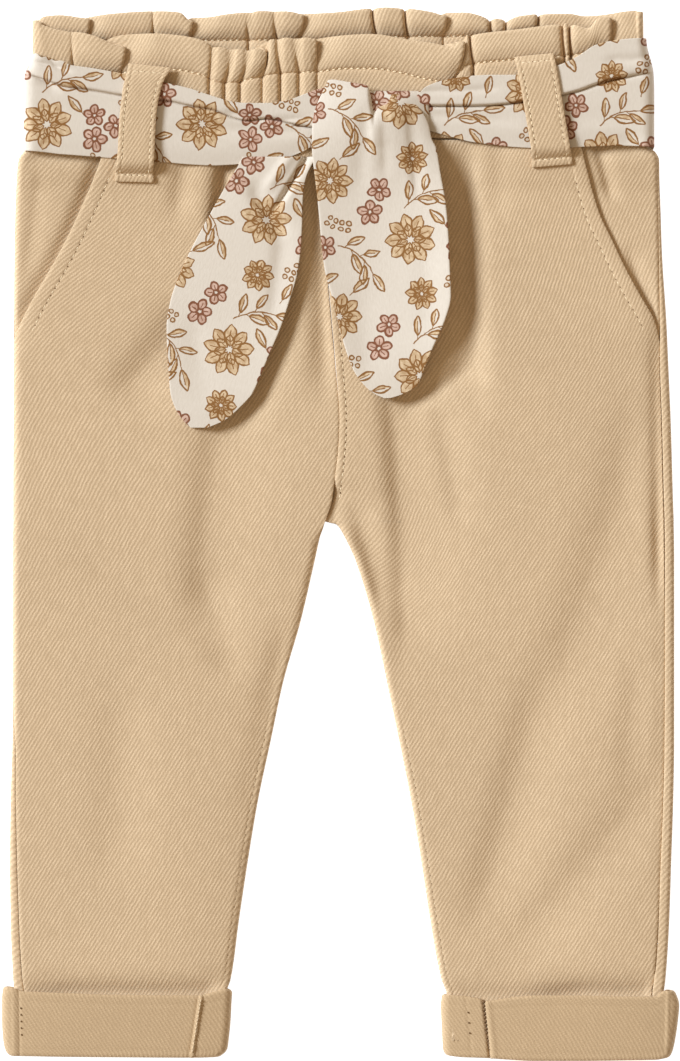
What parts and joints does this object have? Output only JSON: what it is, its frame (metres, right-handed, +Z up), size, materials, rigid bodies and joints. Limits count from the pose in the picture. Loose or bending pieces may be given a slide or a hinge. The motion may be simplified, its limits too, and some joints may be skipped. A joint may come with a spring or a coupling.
{
  "type": "paperbag waist trousers",
  "caption": "Baby's paperbag-waist trousers in twill, laid flat, with slant pockets, a gathered elastic waist, turned-up hems and a printed tie belt in a half knot.",
  "frame": {"origin": "on the surface the trousers lie on, under the middle of their outline's box", "axes": "+Z up from that surface, +Y from the hems to the waist, +X to the wearer's left"},
  "size_m": [0.2709, 0.4212, 0.0155],
  "materials": {
    "twill": "matt beige cotton twill with a clear steep diagonal rib",
    "twill_reverse": "reverse of the twill, flatter, its rib leaning the other way",
    "belt_print": "matt cream plain-weave cotton with a small ochre and dusty pink flower print"
  },
  "bodies": {
    "root": {"front_leg_right": "twill", "front_leg_left": "twill", "back_leg_right": "twill", "back_leg_left": "twill", "pocket_facing_right": "twill", "pocket_facing_left": "twill", "waistband_front": "twill", "waistband_back": "twill", "belt_loop_front_right": "twill", "belt_loop_front_left": "twill", "belt_loop_back_right": "twill", "belt_loop_back_left": "twill", "turn_up_right": "twill_reverse", "turn_up_left": "twill_reverse", "belt_back": "belt_print", "belt_front_right": "belt_print", "belt_front_left": "belt_print", "belt_knot": "belt_print", "belt_tail_right": "belt_print", "belt_tail_left": "belt_print"}
  },
  "joints": []
}
